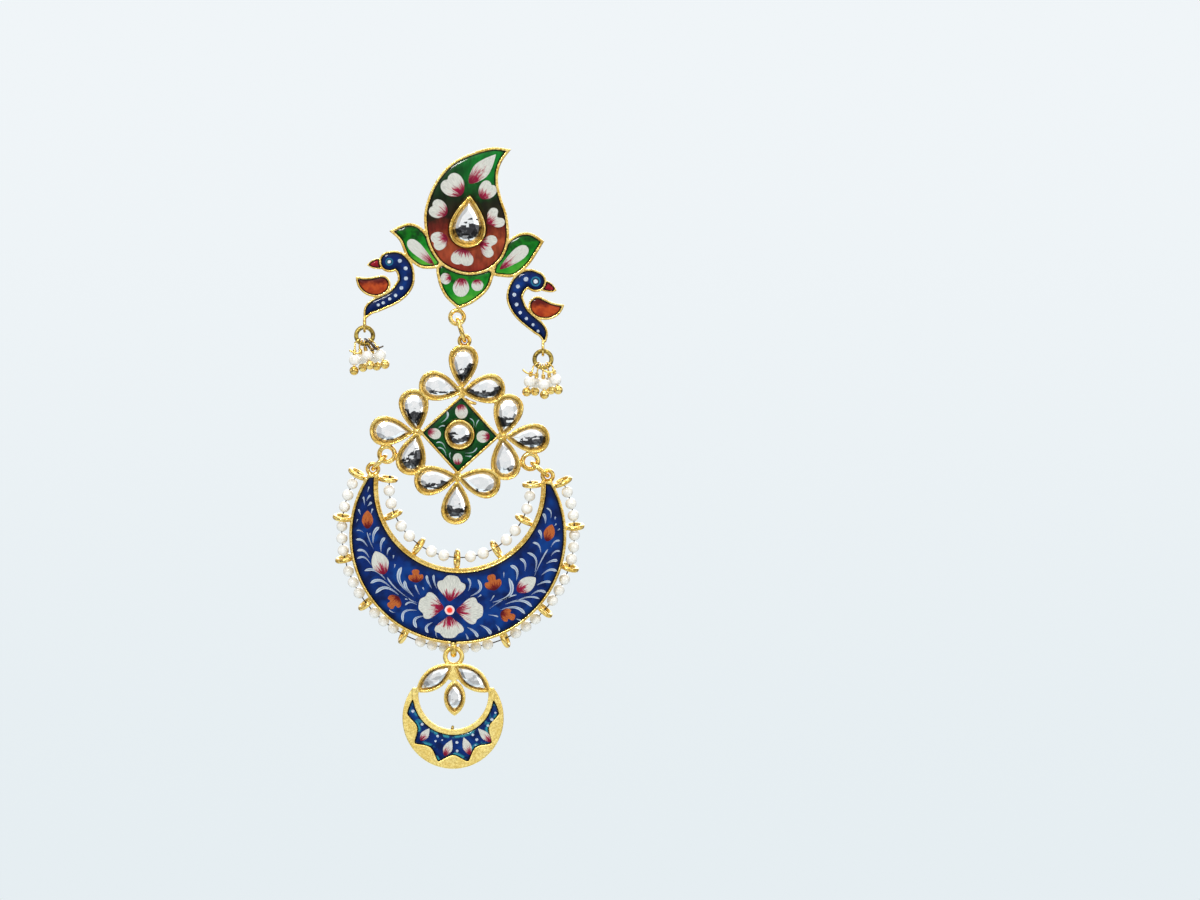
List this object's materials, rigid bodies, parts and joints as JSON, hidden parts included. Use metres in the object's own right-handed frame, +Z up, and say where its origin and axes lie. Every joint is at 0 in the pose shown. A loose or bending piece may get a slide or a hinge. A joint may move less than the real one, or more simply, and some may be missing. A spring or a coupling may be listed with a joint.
{
  "type": "drop earring",
  "caption": "Crescent drop earring: enamelled paisley stud with ducks and pearl drops, stone set flower, enamelled crescent with pearl strings, and a small disc pendant.",
  "frame": {"origin": "axis of the ear post on the back face of the stud, where it meets the ear lobe", "axes": "+Z up as it hangs, -Y to the front that is seen, +X to the viewer's right"},
  "size_m": [0.0479, 0.0145, 0.1179],
  "materials": {
    "gold": "polished gold plate",
    "antique_gold": "darkened gold plate",
    "paisley_enamel": "glossy, green to black to red",
    "green_enamel": "glossy, painted petals",
    "blue_enamel": "glossy, painted flowers",
    "red_enamel": "glossy",
    "stone": "clear, foil behind it",
    "pearl": "pearl lustre",
    "thread": "twisted thread"
  },
  "bodies": {
    "stud": {"stud_frame": "gold", "ear_post": "gold", "paisley_enamel": "paisley_enamel", "left_leaf_enamel": "green_enamel", "right_leaf_enamel": "green_enamel", "base_leaf_enamel": "green_enamel", "left_duck_enamel": "blue_enamel", "left_wing_enamel": "red_enamel", "left_beak_enamel": "red_enamel", "right_duck_enamel": "blue_enamel", "right_wing_enamel": "red_enamel", "right_beak_enamel": "red_enamel", "stud_stone": "stone", "left_drop_ring": "antique_gold", "left_drop_pins": "gold", "left_drop_pearls": "pearl", "right_drop_ring": "antique_gold", "right_drop_pins": "gold", "right_drop_pearls": "pearl"},
    "top_link": {"top_link": "gold"},
    "flower": {"flower_frame": "gold", "flower_enamel": "green_enamel", "centre_stone": "stone", "petal_stone_1": "stone", "petal_stone_2": "stone", "petal_stone_3": "stone", "petal_stone_4": "stone", "petal_stone_5": "stone", "petal_stone_6": "stone", "petal_stone_7": "stone", "petal_stone_8": "stone", "petal_stone_9": "stone", "petal_stone_10": "stone", "petal_stone_11": "stone", "petal_stone_12": "stone"},
    "crescent": {"crescent_frame": "gold", "crescent_enamel": "blue_enamel", "left_side_link": "gold", "right_side_link": "gold", "inner_pearls": "pearl", "inner_thread": "thread", "outer_pearls": "pearl", "outer_thread": "thread"},
    "pendant": {"pendant_frame": "gold", "pendant_enamel": "blue_enamel", "pendant_stone_left": "stone", "pendant_stone_middle": "stone", "pendant_stone_right": "stone"}
  },
  "joints": [
    {"name": "link_swing", "type": "hinge", "parent": "stud", "child": "top_link", "pos_m": [0.00024, -0.00085, -0.01934], "axis": [1, 0, 0], "range_deg": [-40, 40]},
    {"name": "flower_swing", "type": "hinge", "parent": "top_link", "child": "flower", "pos_m": [0.00098, -0.00085, -0.0217], "axis": [1, 0, 0], "range_deg": [-30, 30]},
    {"name": "crescent_swing", "type": "hinge", "parent": "flower", "child": "crescent", "pos_m": [0.0002, -0.00085, -0.04578], "axis": [0.9991, 0, -0.0423], "range_deg": [-30, 30]},
    {"name": "pendant_swing", "type": "hinge", "parent": "crescent", "child": "pendant", "pos_m": [-0.00082, -0.00085, -0.08093], "axis": [1, 0, 0], "range_deg": [-30, 30]}
  ]
}
